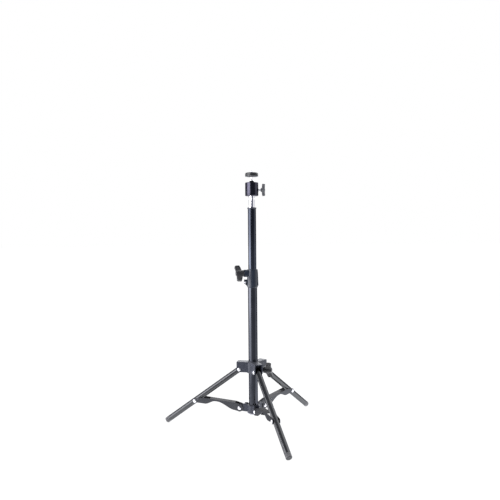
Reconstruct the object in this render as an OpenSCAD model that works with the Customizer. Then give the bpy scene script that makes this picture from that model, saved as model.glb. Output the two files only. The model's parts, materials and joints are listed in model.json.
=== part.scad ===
// Portable stand with a telescoping column, three braced folding legs and a small ball head.
// The origin is on the column axis at floor level, +Z is up, and all lengths are in millimetres.

/* [Column] */
// Outside diameter of the lower column tube
lower_tube_d = 25; // [23:0.5:28]
// Wall of both column tubes
column_wall = 1.2; // [0.9:0.1:1.5]
// Length of the lower tube
lower_tube_len = 364; // [340:0.5:420]
// Length of the upper tube below its top cap
upper_tube_len = 376; // [300:1:380]
// Height of the column top above the collar, as the column is set
column_reach = 166; // [120:1:190]
// Diameter of the rim of the cap on the upper tube
cap_rim_d = 24.6; // [24:0.1:30]
// Height of that rim
cap_rim_h = 4; // [3:0.5:8]

/* [Collar] */
// Length of the collar that joins the two tubes
collar_len = 50; // [44:1:60]
// Outside diameter of the collar
collar_d = 29; // [28:0.5:34]
// How far the collar's bosses stand out from its barrel
collar_boss_reach = 9.5; // [8:0.5:14]
// Height of the collar's upper boss, which takes the clamp screw
collar_boss_h = 20; // [14:0.5:22]

/* [Legs] */
// Length of a leg from its hinge to the end of its foot
leg_len = 260; // [250:1:275]
// Diameter of a leg
leg_d = 16; // [14:0.5:17]
// Wall of a leg tube
leg_wall = 1; // [0.8:0.1:1.5]
// Slope of the open legs below level
leg_angle = 36; // [34:0.5:38]
// Direction of the first leg, seen from above
leg_turn = 49; // [30:1:70]
// Distance of the leg and brace hinges from the column axis
hinge_r = 37; // [36:0.5:40]
// Length of a foot cap
foot_len = 12; // [9:0.5:20]
// Depth of the flat that each foot rests on
foot_flat = 1.2; // [0.8:0.1:2]

/* [Leg hub] */
// Height of the leg hub above its hinges
hub_rise = 21; // [18:0.5:24]
// Depth of the leg hub below its hinges
hub_drop = 7; // [6:0.5:9]
// Outside diameter of the hub's sleeve
hub_sleeve_d = 34; // [32:0.5:36]
// Thickness of the walls of the hub's three forks
fork_wall = 3; // [2.5:0.1:4]

/* [Base hub and braces] */
// Height of the lower brace hinges above the floor
base_pivot_z = 53; // [50:0.5:56]
// Where a brace meets its leg, as a share of the leg's length
brace_share = 0.6; // [0.58:0.005:0.62]
// Thickness of the brace's sheet metal
brace_sheet = 1.5; // [1:0.1:2]
// Radius of the brace's round end at the base hub
brace_root_r = 9.8; // [9:0.1:10.5]
// Radius of the brace's end at the leg
brace_tip_r = 6.8; // [6:0.1:8]

/* [Ball head] */
// Diameter of the spigot between the column and the ball head
spigot_d = 16; // [14:0.5:18]
// Free length of that spigot
spigot_len = 31; // [25:1:45]
// Diameter of the ball's housing
housing_d = 35.5; // [33:0.5:40]
// Height of the ball's housing
housing_h = 36; // [34:0.5:42]
// Diameter of the ball
ball_d = 20; // [19:0.5:21]
// Depth of the ball's centre below the housing's rim
ball_sink = 4; // [3.5:0.1:5]
// Height of the plate's underside above the ball's centre
plate_lift = 20; // [19:0.5:24]
// Diameter of the mounting plate
plate_d = 35; // [30:0.5:38]
// Thickness of the mounting plate
plate_t = 9; // [6:0.5:11]
// Thickness of the pad on the plate
pad_t = 1; // [0.8:0.1:2]
// Length of the mounting screw above the pad
camera_screw_len = 5; // [4:0.5:7]

/* [Knobs] */
// Length of the column and hub knobs across their wings
knob_len = 50; // [40:1:52]
// Depth of their wings along the screw
knob_depth = 13.5; // [10:0.5:14]
// Length of the ball head's knob across its wings
head_knob_len = 33; // [28:1:36]
// Depth of the ball head knob's wings along the screw
head_knob_depth = 9; // [7:0.5:10]
// Diameter of the clamp screws
clamp_screw_d = 6; // [5:0.5:6]

/* [Hidden] */
$fn = 64;

// One overrun for every cut
over = 1;
// Radial clearance of what turns or slides on a round pin or tube
run_gap = 0.08;
// Radial gap round a piece that is fixed in its seat
seat_gap = 0.04;
// Gap between loose faces, and round the upper tube inside the lower one
loose_gap = 0.3;
// Gap at each side of a leg inside its fork or brace
side_gap = 0.5;

// Leg and brace geometry, worked out in the upright plane through one leg
leg_r = leg_d / 2;
leg_head = leg_r;
foot_round = 2;
foot_plug = 14;
foot_end_z = leg_r * cos(leg_angle) - foot_flat;
hub_pivot_z = foot_end_z + leg_len * sin(leg_angle);
brace_at = brace_share * leg_len;
joint_x = hinge_r + brace_at * cos(leg_angle);
joint_z = hub_pivot_z - brace_at * sin(leg_angle);
brace_len = norm([joint_x - hinge_r, joint_z - base_pivot_z]);
brace_angle = atan2(joint_z - base_pivot_z, joint_x - hinge_r);
inner_half = leg_r + side_gap;

// Brace: the web on top stops short of the leg, and the lower edge of each flange has a waist and a bulge
web_gap = 3;
web_stop = 41;
web_from = 14;
web_under = leg_r + web_gap;
web_to = brace_len - web_stop;
waist_rise = 8;
bulge_drop = 3.2;
root_share = 0.09;
root_depth_share = 0.8;
waist_from_share = 0.50;
waist_to_share = 0.54;
bulge_share = 0.77;
shoulder_share = 0.82;

// Rivets
rivet_d = 6;
rivet_head_d = 9.6;
rivet_head_h = 2.4;

// Base hub
base_sleeve_d = 34;
base_drop = 12;
base_rise = 9;
lug_plate = 2.6;
lug_root = 1.2;
lug_tab_slope = 1.2;
lug_end_r = 8;
lug_tab_rise = 12;
lug_tab_r = 25;
plug_dome = 8;
plug_neck = 5;
base_bottom_z = base_pivot_z - base_drop;
tube_bottom_z = base_bottom_z;
tube_top_z = tube_bottom_z + lower_tube_len;

// Leg hub: a skirt below the forks, a stepped shoulder, a lip round the tube, and a boss for the lock screw
hub_skirt = 2;
hub_step = 1.5;
hub_lip = 2;
hub_lip_d = 29.5;
hub_bottom_z = hub_pivot_z - hub_drop - hub_skirt;
hub_top_z = hub_pivot_z + hub_rise + hub_lip;
fork_end = hinge_r + hub_drop;
hub_boss_d = 16;
hub_boss_r = 30;
hub_boss_z = hub_pivot_z;
hub_knob_turn = leg_turn - 64;

// Collar
collar_bottom_z = tube_top_z - collar_len / 2;
collar_top_z = collar_bottom_z + collar_len;
collar_edge = 1;
collar_slope = 3;
collar_boss_z = collar_top_z - collar_boss_h / 2 - collar_edge;
collar_boss_w = 17;
collar_boss_turn = 195;
collar_ear_w = 9;
collar_ear_h = 19;
collar_ear_reach = 8.5;
collar_ear_lean = 6.3;
collar_ear_foot = 3.2;
collar_ear_corner = 1.2;
collar_root = 1.2;
collar_rib_w = 9;
collar_rib_foot = 1.6;
collar_rib_head = 0.3;
collar_pin_share = 0.62;
collar_pin_d = 4;
collar_pin_head_d = 6.5;
collar_pin_head_h = 1.6;

// Upper column
upper_tube_d = lower_tube_d - 2 * column_wall - 2 * loose_gap;
column_top_z = collar_top_z + column_reach;
cap_plug_h = 14;
spigot_plug_h = 16;
spigot_groove_d = 13;
spigot_groove_h = 3;
spigot_groove_drop = 6;

// Ball head
housing_z = column_top_z + spigot_len;
housing_top_z = housing_z + housing_h;
housing_edge = 1.5;
socket_flare = 1;
lock_boss_d = 10.4;
lock_boss_out = 0.4;
lock_share = 0.44;
ball_z = housing_top_z - ball_sink;
stem_d = 6.5;
stem_foot_d = 9;
stem_flare_h = 3;
plate_z = ball_z + plate_lift;
plate_edge = 0.8;
plate_groove = 0.35;
plate_groove_h = 1;
pad_edge = 1.5;
pad_d = plate_d - 2 * pad_edge;
// The mounting screw is a quarter of an inch, with a relief where it passes the pad
camera_screw_d = 6.35;
camera_screw_edge = 0.5;
camera_relief_d = 5.2;
head_screw_z = housing_z + housing_h * lock_share;
head_screw_in = 4;
head_screw_show = 6.5;

// Knobs
knob_boss_d = 17;
knob_boss_h = 8.5;
knob_waist = 7.5;
knob_tip = 10;
head_knob_boss_d = 11;
head_knob_boss_h = 3;
head_knob_waist = 5;
head_knob_tip = 6.5;
knob_screw_seat = 8;
wing_lift_share = 0.125;
wing_lean_share = 0.167;
wing_dip_share = 0.9;
collar_knob_r = collar_d / 2 + collar_boss_reach + loose_gap;
hub_knob_r = hub_boss_r + loose_gap;
head_knob_r = housing_d / 2 + head_screw_show;
collar_knob_spin = 42;
hub_knob_spin = 35;
head_knob_spin = 0;

function leg_dir(i) = leg_turn + 120 * (i - 1);
function arc_points(c, r, from, to, steps) =
    [for (k = [0:steps]) c + r * [cos(from + (to - from) * k / steps), sin(from + (to - from) * k / steps)]];

// A frame whose X runs outward along one leg's direction
module toward_leg(i) rotate([0, 0, leg_dir(i)]) children();

// A bar or hole along Y, centred on a hinge
module hinge_rod(x, z, d, half) translate([x, half, z]) rotate([90, 0, 0]) cylinder(d = d, h = 2 * half);

// A solid drawn in the XZ plane and given a width in Y
module side_plate(from, to) translate([0, to, 0]) rotate([90, 0, 0]) linear_extrude(to - from) children();

module tube(d, wall, h) difference() {
    cylinder(d = d, h = h);
    translate([0, 0, -over]) cylinder(d = d - 2 * wall, h = h + 2 * over);
}

// A domed rivet head standing on the XZ plane at y = 0, facing +Y
module rivet_head() {
    dome_r = (pow(rivet_head_d / 2, 2) + pow(rivet_head_h, 2)) / (2 * rivet_head_h);
    rotate([-90, 0, 0]) intersection() {
        cylinder(d = rivet_head_d, h = rivet_head_h);
        translate([0, 0, rivet_head_h - dome_r]) sphere(r = dome_r);
    }
}

module rivet(x, z, half) {
    hinge_rod(x, z, rivet_d, half);
    for (s = [0, 180]) translate([x, 0, z]) rotate([0, 0, s]) translate([0, half, 0]) rivet_head();
}

module lower_tube() color("#2b2c30") translate([0, 0, tube_bottom_z])
    tube(lower_tube_d, column_wall, lower_tube_len);

// Ring with three pairs of upright plates that carry the braces
module base_hub() color("#3a3b40") difference() {
    union() {
        translate([0, 0, base_bottom_z]) cylinder(d = base_sleeve_d, h = base_drop + base_rise);
        for (i = [1:3]) toward_leg(i) base_lug();
    }
    translate([0, 0, base_bottom_z - over])
        cylinder(d = lower_tube_d + 2 * seat_gap, h = base_drop + base_rise + 2 * over);
    for (i = [1:3]) toward_leg(i) hinge_rod(hinge_r, base_pivot_z, rivet_d + 2 * seat_gap, hinge_r);
}

module base_lug() {
    half = inner_half - loose_gap;
    start = lower_tube_d / 2 + lug_root;
    outline = concat(
        [[start, lug_plate - base_drop]],
        arc_points([hinge_r, 0], lug_end_r, -105, 90, 16),
        [[lug_tab_r + lug_tab_slope, lug_end_r], [lug_tab_r, lug_tab_rise],
         [base_sleeve_d / 2, lug_tab_rise], [start, base_rise]]);
    for (s = [-1, 1]) side_plate(s > 0 ? half - lug_plate : -half, s > 0 ? half : lug_plate - half)
        translate([0, base_pivot_z]) polygon(outline);
    side_plate(-half, half) translate([0, base_pivot_z])
        polygon([[start, lug_plate - base_drop], [hinge_r - lug_end_r, -lug_end_r],
                 [hinge_r - lug_end_r, lug_plate - lug_end_r], [start, 2 * lug_plate - base_drop]]);
}

// Rounded plug that closes the foot of the column
module base_plug() color("#75777c") translate([0, 0, base_bottom_z]) {
    rotate_extrude() polygon(concat([[0, 0], [0, -plug_dome]],
        [for (k = [1:12]) [base_sleeve_d / 2 * sin(90 * k / 12), -plug_dome * cos(90 * k / 12)]]));
    cylinder(d = lower_tube_d - 2 * column_wall - 2 * seat_gap, h = plug_neck);
}

module base_rivet(i) color("#d5d6da") toward_leg(i)
    rivet(hinge_r, base_pivot_z, inner_half + brace_sheet + loose_gap);

// Sleeve sliding on the lower tube, with three forks for the legs and a boss for the lock screw
module leg_hub() color("#4b4e57") difference() {
    union() {
        translate([0, 0, hub_bottom_z])
            cylinder(d = hub_sleeve_d, h = hub_pivot_z + hub_rise - hub_step - hub_bottom_z);
        translate([0, 0, hub_pivot_z]) cylinder(d = hub_lip_d, h = hub_top_z - hub_pivot_z);
        for (i = [1:3]) toward_leg(i) hub_fork();
        rotate([0, 0, hub_knob_turn]) translate([0, 0, hub_boss_z]) rotate([0, 90, 0])
            cylinder(d = hub_boss_d, h = hub_boss_r);
    }
    translate([0, 0, hub_bottom_z - over])
        cylinder(d = lower_tube_d + 2 * run_gap, h = hub_top_z - hub_bottom_z + 2 * over);
    for (i = [1:3]) toward_leg(i) fork_room();
    rotate([0, 0, hub_knob_turn]) translate([0, 0, hub_boss_z]) rotate([0, 90, 0])
        cylinder(d = clamp_screw_d + 2 * run_gap, h = hub_boss_r + over);
}

module hub_fork() {
    half = inner_half + fork_wall;
    side_plate(-half, half) translate([0, hub_pivot_z])
        polygon(concat([[0, hub_rise], [0, -hub_drop]],
            arc_points([hinge_r, 0], hub_drop, -90, 0, 8), [[fork_end, hub_rise]]));
}

// Space for the leg in its fork, and the hole for its rivet
module fork_room() {
    translate([hub_sleeve_d / 2 + fork_wall / 2, -inner_half, hub_pivot_z - hub_drop - over])
        cube([fork_end, 2 * inner_half, hub_drop + hub_rise - fork_wall + over]);
    hinge_rod(hinge_r, hub_pivot_z, rivet_d + 2 * seat_gap, hinge_r);
}

module leg_rivet(i) color("#d5d6da") toward_leg(i) rivet(hinge_r, hub_pivot_z, inner_half + fork_wall);

// A frame at a leg's hinge whose X runs down the leg
module along_leg(i) toward_leg(i) translate([hinge_r, 0, hub_pivot_z]) rotate([0, leg_angle, 0]) children();

module leg(i) color("#2b2c30") along_leg(i) difference() {
    translate([-leg_head, 0, 0]) rotate([0, 90, 0]) tube(leg_d, leg_wall, leg_head + leg_len - foot_len);
    hinge_rod(0, 0, rivet_d + 2 * run_gap, leg_d);
}

module foot(i) color("#6b6d72") difference() {
    along_leg(i) translate([leg_len - foot_len, 0, 0]) rotate([0, 90, 0]) {
        rotate_extrude() polygon(concat([[0, 0], [leg_r, 0]],
            arc_points([leg_r - foot_round, foot_len - foot_round], foot_round, 0, 90, 6), [[0, foot_len]]));
        translate([0, 0, -foot_plug]) cylinder(r = leg_r - leg_wall - seat_gap, h = foot_plug);
    }
    toward_leg(i) translate([0, -leg_d, -leg_d]) cube([hinge_r + leg_len, 2 * leg_d, leg_d]);
}

// A frame at the base hinge whose X runs out along the brace
module along_brace(i) toward_leg(i)
    translate([hinge_r, 0, base_pivot_z]) rotate([0, -brace_angle, 0]) children();

// A smooth step from one point to the next, for the lower edge of a flange
function ease(t) = (1 - cos(180 * t)) / 2;
function ramp(from, to, steps) = [for (k = [0:steps]) let(t = k / steps)
    [from[0] + (to[0] - from[0]) * t, from[1] + (to[1] - from[1]) * ease(t)]];

// Pressed channel: a wavy flange at each side and a web on top
module brace(i) color("#33343a") along_brace(i) {
    top = web_under + brace_sheet;
    outline = concat(
        arc_points([0, 0], brace_root_r, 90, 297, 20),
        ramp([root_share * brace_len, -root_depth_share * brace_root_r],
             [waist_from_share * brace_len, waist_rise], 10),
        ramp([waist_to_share * brace_len, waist_rise], [bulge_share * brace_len, -bulge_drop], 8),
        arc_points([brace_len, 0], brace_tip_r, -150, 75, 14),
        [[shoulder_share * brace_len, top], [web_from, top]]);
    difference() {
        for (s = [-1, 1])
            side_plate(s > 0 ? inner_half : -inner_half - brace_sheet,
                       s > 0 ? inner_half + brace_sheet : -inner_half) polygon(outline);
        hinge_rod(0, 0, rivet_d + 2 * run_gap, leg_d);
        hinge_rod(brace_len, 0, rivet_d + 2 * seat_gap, leg_d);
    }
    translate([web_from, -inner_half - brace_sheet, web_under])
        cube([web_to - web_from, 2 * (inner_half + brace_sheet), brace_sheet]);
}

// The two heads of the rivet that joins a brace to its leg
module brace_rivets(i) color("#d5d6da") along_brace(i) for (s = [0, 180])
    translate([brace_len, 0, 0]) rotate([0, 0, s]) {
        translate([0, inner_half + brace_sheet, 0]) rivet_head();
        translate([0, inner_half, 0]) rotate([-90, 0, 0]) cylinder(d = rivet_d, h = brace_sheet);
    }

// Collar: a barrel clamped on the lower tube, narrower above it where the upper tube slides
module column_collar() color("#4a5058") difference() {
    union() {
        translate([0, 0, collar_bottom_z]) rotate_extrude() polygon([
            [0, 0], [collar_d / 2 - collar_edge, 0], [collar_d / 2, collar_slope],
            [collar_d / 2, collar_len - collar_slope], [collar_d / 2 - collar_edge, collar_len],
            [0, collar_len]]);
        translate([0, 0, collar_bottom_z]) collar_rib();
        rotate([0, 0, collar_boss_turn]) translate([0, 0, collar_boss_z]) collar_boss();
        rotate([0, 0, 180]) translate([0, 0, collar_bottom_z + collar_slope]) collar_ear();
    }
    translate([0, 0, collar_bottom_z - over])
        cylinder(d = lower_tube_d + 2 * seat_gap, h = collar_len / 2 + over);
    translate([0, 0, collar_bottom_z]) cylinder(d = upper_tube_d + 2 * run_gap, h = collar_len + over);
    rotate([0, 0, collar_boss_turn]) translate([0, 0, collar_boss_z]) rotate([0, 90, 0])
        cylinder(d = clamp_screw_d + 2 * run_gap, h = collar_d);
    rotate([0, 0, 180]) collar_pin_place()
        cylinder(d = collar_pin_d + 2 * seat_gap, h = collar_ear_w + 2 * over, center = true);
}

module collar_boss() rotate([0, 90, 0]) intersection() {
    cylinder(d = collar_boss_h, h = collar_d / 2 + collar_boss_reach);
    translate([-collar_boss_h / 2, -collar_boss_w / 2, 0])
        cube([collar_boss_h, collar_boss_w, collar_d]);
}

// The upright rib on the side away from the bosses, which stands out more towards its foot
module collar_rib() side_plate(-collar_rib_w / 2, collar_rib_w / 2) polygon([
    [collar_d / 2 - collar_root, collar_slope], [collar_d / 2 + collar_rib_foot, 2 * collar_slope],
    [collar_d / 2 + collar_rib_head, collar_len - 2 * collar_slope],
    [collar_d / 2 - collar_root, collar_len - 2 * collar_slope]]);

module collar_ear() {
    reach = collar_d / 2 + collar_ear_reach;
    side_plate(-collar_ear_w / 2, collar_ear_w / 2) polygon([
        [collar_d / 2 - collar_root, 0], [reach - collar_ear_lean, collar_ear_foot],
        [reach, collar_ear_h / 2], [reach, collar_ear_h - collar_ear_corner],
        [reach - collar_ear_corner, collar_ear_h], [collar_d / 2 - collar_root, collar_ear_h]]);
}

module collar_pin_place()
    translate([collar_d / 2 + collar_ear_reach / 2, 0,
               collar_bottom_z + collar_slope + collar_ear_h * collar_pin_share])
        rotate([90, 0, 0]) children();

module collar_pin() color("#d5d6da") rotate([0, 0, 180]) collar_pin_place() {
    cylinder(d = collar_pin_d, h = collar_ear_w, center = true);
    for (s = [0, 180]) rotate([s, 0, 0]) translate([0, 0, collar_ear_w / 2])
        cylinder(d1 = collar_pin_head_d, d2 = collar_pin_d, h = collar_pin_head_h);
}

module upper_tube() color("#222328") translate([0, 0, column_top_z - cap_rim_h - upper_tube_len])
    tube(upper_tube_d, column_wall, upper_tube_len);

module tube_cap() color("#2e2f38") translate([0, 0, column_top_z - cap_rim_h]) difference() {
    union() {
        cylinder(d = cap_rim_d, h = cap_rim_h);
        translate([0, 0, -cap_plug_h])
            cylinder(d = upper_tube_d - 2 * column_wall - 2 * seat_gap, h = cap_plug_h);
    }
    translate([0, 0, cap_rim_h - spigot_plug_h])
        cylinder(d = spigot_d + 2 * seat_gap, h = spigot_plug_h + over);
}

module spigot() color("#dfe0e4") difference() {
    translate([0, 0, column_top_z - spigot_plug_h]) cylinder(d = spigot_d, h = spigot_plug_h + spigot_len);
    translate([0, 0, housing_z - spigot_groove_drop - spigot_groove_h]) difference() {
        cylinder(d = spigot_d + 2 * over, h = spigot_groove_h);
        cylinder(d = spigot_groove_d, h = spigot_groove_h);
    }
}

// A wing knob on +Z: its boss starts at z = 0 and its wings stand beyond the boss
module wing_knob(len, depth, boss_d, boss_h, waist_w, tip_w, seat) difference() {
    lift = wing_lift_share * depth;
    lean = wing_lean_share * depth;
    dip = wing_dip_share * depth;
    union() {
        cylinder(d = boss_d, h = boss_h + depth / 2);
        intersection() {
            translate([0, 0, boss_h]) linear_extrude(depth) polygon([
                [-len / 2, -tip_w / 2], [-len / 2, tip_w / 2], [-boss_d / 2, waist_w / 2], [0, boss_d / 2],
                [boss_d / 2, waist_w / 2], [len / 2, tip_w / 2], [len / 2, -tip_w / 2],
                [boss_d / 2, -waist_w / 2], [0, -boss_d / 2], [-boss_d / 2, -waist_w / 2]]);
            rotate([90, 0, 0]) linear_extrude(boss_d, center = true) polygon([
                [-len / 2, boss_h + lift], [-len / 2 + lean, boss_h + depth],
                [-boss_d / 2, boss_h + dip], [boss_d / 2, boss_h + dip],
                [len / 2 - lean, boss_h + depth], [len / 2, boss_h + lift],
                [boss_d / 2, boss_h], [-boss_d / 2, boss_h]]);
        }
    }
    translate([0, 0, -over]) cylinder(d = clamp_screw_d + 2 * seat_gap, h = seat + over);
}

module collar_knob_place() rotate([0, 0, collar_boss_turn]) translate([0, 0, collar_boss_z])
    rotate([0, 90, 0]) rotate([0, 0, collar_knob_spin]) children();
module collar_knob() color("#26262a") collar_knob_place() translate([0, 0, collar_knob_r])
    wing_knob(knob_len, knob_depth, knob_boss_d, knob_boss_h, knob_waist, knob_tip, knob_screw_seat);
module collar_screw() color("#c9cace") collar_knob_place()
    translate([0, 0, upper_tube_d / 2 + loose_gap])
        cylinder(d = clamp_screw_d, h = collar_knob_r + knob_screw_seat - upper_tube_d / 2 - loose_gap);

module hub_knob_place() rotate([0, 0, hub_knob_turn]) translate([0, 0, hub_boss_z])
    rotate([0, 90, 0]) rotate([0, 0, hub_knob_spin]) children();
module hub_knob() color("#26262a") hub_knob_place() translate([0, 0, hub_knob_r])
    wing_knob(knob_len, knob_depth, knob_boss_d, knob_boss_h, knob_waist, knob_tip, knob_screw_seat);
module hub_screw() color("#c9cace") hub_knob_place() translate([0, 0, lower_tube_d / 2 + loose_gap])
    cylinder(d = clamp_screw_d, h = hub_knob_r + knob_screw_seat - lower_tube_d / 2 - loose_gap);

module ball_housing() color("#37364a") difference() {
    union() {
        translate([0, 0, housing_z]) rotate_extrude() polygon([
            [0, 0], [housing_d / 2 - housing_edge, 0], [housing_d / 2, housing_edge],
            [housing_d / 2, housing_h - housing_edge], [housing_d / 2 - housing_edge, housing_h],
            [0, housing_h]]);
        translate([0, 0, head_screw_z]) rotate([0, 90, 0])
            cylinder(d = lock_boss_d, h = housing_d / 2 + lock_boss_out);
    }
    translate([0, 0, ball_z]) sphere(d = ball_d + 2 * run_gap);
    translate([0, 0, housing_top_z - socket_flare])
        cylinder(d1 = ball_d - 2 * socket_flare, d2 = ball_d + 2 * over, h = socket_flare + over);
    translate([head_screw_in, 0, head_screw_z]) rotate([0, 90, 0])
        cylinder(d = clamp_screw_d + 2 * run_gap, h = housing_d);
}

module head_knob_place() translate([0, 0, head_screw_z]) rotate([0, 90, 0])
    rotate([0, 0, head_knob_spin]) children();
module head_knob() color("#5a5b60") head_knob_place() translate([0, 0, head_knob_r])
    wing_knob(head_knob_len, head_knob_depth, head_knob_boss_d, head_knob_boss_h, head_knob_waist,
        head_knob_tip, knob_screw_seat);
module head_screw() color("#c9cace") head_knob_place() translate([0, 0, head_screw_in + loose_gap])
    cylinder(d = clamp_screw_d, h = head_knob_r + knob_screw_seat - head_screw_in - loose_gap);

module ball() color("#8b8c92") translate([0, 0, ball_z]) sphere(d = ball_d);

module ball_stem() color("#dfe0e4") difference() {
    translate([0, 0, ball_z]) {
        cylinder(d = stem_d, h = plate_lift);
        cylinder(d = stem_foot_d, h = ball_d / 2);
        translate([0, 0, ball_d / 2]) cylinder(d1 = stem_foot_d, d2 = stem_d, h = stem_flare_h);
    }
    translate([0, 0, ball_z]) sphere(d = ball_d + 2 * run_gap);
}

// Round plate with bevelled edges and a groove round the middle of its rim
module plate() color("#7a7b7e") translate([0, 0, plate_z]) rotate_extrude() polygon([
    [0, 0], [plate_d / 2 - plate_edge, 0], [plate_d / 2, plate_edge],
    [plate_d / 2, (plate_t - plate_groove_h) / 2],
    [plate_d / 2 - plate_groove, (plate_t - plate_groove_h) / 2 + plate_groove],
    [plate_d / 2 - plate_groove, (plate_t + plate_groove_h) / 2 - plate_groove],
    [plate_d / 2, (plate_t + plate_groove_h) / 2],
    [plate_d / 2, plate_t - plate_edge], [plate_d / 2 - plate_edge, plate_t], [0, plate_t]]);

module plate_pad() color("#1c1c1e") translate([0, 0, plate_z + plate_t]) difference() {
    cylinder(d = pad_d, h = pad_t);
    translate([0, 0, -over]) cylinder(d = camera_screw_d + 2 * seat_gap, h = pad_t + 2 * over);
}

module camera_screw() color("#c9cace") translate([0, 0, plate_z + plate_t]) rotate_extrude() polygon([
    [0, 0], [camera_relief_d / 2, 0], [camera_relief_d / 2, pad_t], [camera_screw_d / 2, pad_t],
    [camera_screw_d / 2, pad_t + camera_screw_len - camera_screw_edge],
    [camera_screw_d / 2 - camera_screw_edge, pad_t + camera_screw_len], [0, pad_t + camera_screw_len]]);

lower_tube();
base_hub();
base_plug();
base_rivet(1);  // base_rivet_1
base_rivet(2);  // base_rivet_2
base_rivet(3);  // base_rivet_3
column_collar();
collar_pin();
leg_hub();
leg_rivet(1);  // leg_rivet_1
leg_rivet(2);  // leg_rivet_2
leg_rivet(3);  // leg_rivet_3
leg(1);  // leg_1
leg(2);  // leg_2
leg(3);  // leg_3
foot(1);  // foot_1
foot(2);  // foot_2
foot(3);  // foot_3
brace(1);  // brace_1
brace(2);  // brace_2
brace(3);  // brace_3
brace_rivets(1);  // brace_rivets_1
brace_rivets(2);  // brace_rivets_2
brace_rivets(3);  // brace_rivets_3
upper_tube();
tube_cap();
spigot();
collar_knob();
collar_screw();
hub_knob();
hub_screw();
ball_housing();
head_knob();
head_screw();
ball();
ball_stem();
plate();
plate_pad();
camera_screw();
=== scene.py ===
# %% [markdown]
# # A portable stand, dressed for a studio picture
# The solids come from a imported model, and each sits where it belongs. This script gives every solid its
# finish, and replaces those whose small forms matter, such as knobs, rivets and threads, by modelled pieces.

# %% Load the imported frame
import json
import math

import bmesh
import bpy
from mathutils import Matrix, Vector

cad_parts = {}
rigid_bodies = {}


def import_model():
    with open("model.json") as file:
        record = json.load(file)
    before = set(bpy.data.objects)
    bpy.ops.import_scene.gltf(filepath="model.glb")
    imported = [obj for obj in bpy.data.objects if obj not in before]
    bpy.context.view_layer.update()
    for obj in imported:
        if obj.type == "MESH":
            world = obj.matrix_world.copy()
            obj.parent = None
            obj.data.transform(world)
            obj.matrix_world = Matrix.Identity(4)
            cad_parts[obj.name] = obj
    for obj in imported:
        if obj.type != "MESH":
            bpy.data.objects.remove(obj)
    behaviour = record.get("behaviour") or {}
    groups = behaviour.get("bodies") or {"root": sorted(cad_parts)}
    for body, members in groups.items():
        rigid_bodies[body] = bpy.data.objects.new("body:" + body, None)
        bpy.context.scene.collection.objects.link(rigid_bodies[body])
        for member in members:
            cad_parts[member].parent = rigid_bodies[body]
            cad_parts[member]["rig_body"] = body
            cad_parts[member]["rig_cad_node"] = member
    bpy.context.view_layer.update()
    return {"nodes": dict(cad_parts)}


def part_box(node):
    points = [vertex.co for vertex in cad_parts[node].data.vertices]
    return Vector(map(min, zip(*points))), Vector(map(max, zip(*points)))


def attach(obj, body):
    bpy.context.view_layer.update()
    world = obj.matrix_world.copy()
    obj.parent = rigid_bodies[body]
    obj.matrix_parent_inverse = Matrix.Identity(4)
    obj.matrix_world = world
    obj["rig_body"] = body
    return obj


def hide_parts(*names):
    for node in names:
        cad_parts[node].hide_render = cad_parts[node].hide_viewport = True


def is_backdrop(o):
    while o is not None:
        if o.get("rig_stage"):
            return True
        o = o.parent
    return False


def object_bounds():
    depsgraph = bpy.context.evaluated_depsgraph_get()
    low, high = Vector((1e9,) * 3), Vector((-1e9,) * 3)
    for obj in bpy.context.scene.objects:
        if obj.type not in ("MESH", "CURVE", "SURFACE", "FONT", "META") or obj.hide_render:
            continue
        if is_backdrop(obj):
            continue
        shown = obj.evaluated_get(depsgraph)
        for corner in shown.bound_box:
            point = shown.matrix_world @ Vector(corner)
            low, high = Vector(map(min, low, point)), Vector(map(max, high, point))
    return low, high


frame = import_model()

nodes = frame["nodes"]

# %% [markdown]
# ## Measures taken from the solids
# Every modelled piece has to sit on the solid that carries it, so heights and sizes are read from the
# solids' boxes; the leg angles, the hinge radius, the brace tips, the leg length and the knob turns are given
# as numbers. One millimetre is the unit for the small forms, because the scene itself is in metres.

# %% Measures of the stand
MM = 0.001
LEG_TURN = math.radians(49)
LEG_SLOPE = math.radians(36)


def size_of(node):
    low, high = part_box(node)
    return low, high, high - low


def leg_direction(number):
    return LEG_TURN + math.radians(120) * (number - 1)


tube_low, tube_high, tube_size = size_of("lower_tube")
plate_low, plate_high, plate_size = size_of("plate")
housing_low, housing_high, housing_size = size_of("ball_housing")
spigot_low, spigot_high, spigot_size = size_of("spigot")
cap_low, cap_high, cap_size = size_of("tube_cap")
ball_low, ball_high, ball_size = size_of("ball")
ball_middle = (ball_low + ball_high) / 2
print("column bottom", round(tube_low.z, 4), "plate top", round(plate_high.z, 4))

# %% [markdown]
# ## Working on one piece at a time
# A modelling operator acts on everything that is selected. These helpers deselect all, pick one piece, and
# choose its faces by their place and direction, which is how a hand would click them.


# %% Helpers for picking and placing
def pick(part):
    if bpy.context.object and bpy.context.object.mode != "OBJECT":
        bpy.ops.object.mode_set(mode="OBJECT")
    bpy.ops.object.select_all(action="DESELECT")
    part.select_set(True)
    bpy.context.view_layer.objects.active = part


def edit(part):
    pick(part)
    bpy.ops.object.mode_set(mode="EDIT")
    bpy.ops.mesh.select_mode(type="FACE")
    bpy.ops.mesh.select_all(action="SELECT")


def choose_faces(part, test):
    bpy.ops.mesh.select_mode(type="FACE")
    bpy.ops.mesh.select_all(action="DESELECT")
    shape = bmesh.from_edit_mesh(part.data)
    shape.normal_update()
    chosen = [f for f in shape.faces if test(f.calc_center_median(), f.normal)]
    for face in chosen:
        face.select_set(True)
    bmesh.update_edit_mesh(part.data)
    return len(chosen)


def close_up(part):
    """Merges doubled points, turns every face outward and goes back to object mode."""
    bpy.ops.mesh.select_all(action="SELECT")
    bpy.ops.mesh.remove_doubles(threshold=0.01 * MM)
    bpy.ops.mesh.normals_make_consistent(inside=False)
    bpy.ops.object.mode_set(mode="OBJECT")
    return part


def put(part, matrix):
    """Moves a piece to its place and leaves that place in its mesh."""
    pick(part)
    part.matrix_world = matrix
    bpy.context.view_layer.update()
    bpy.ops.object.transform_apply(location=True, rotation=True, scale=True)
    return part


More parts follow.
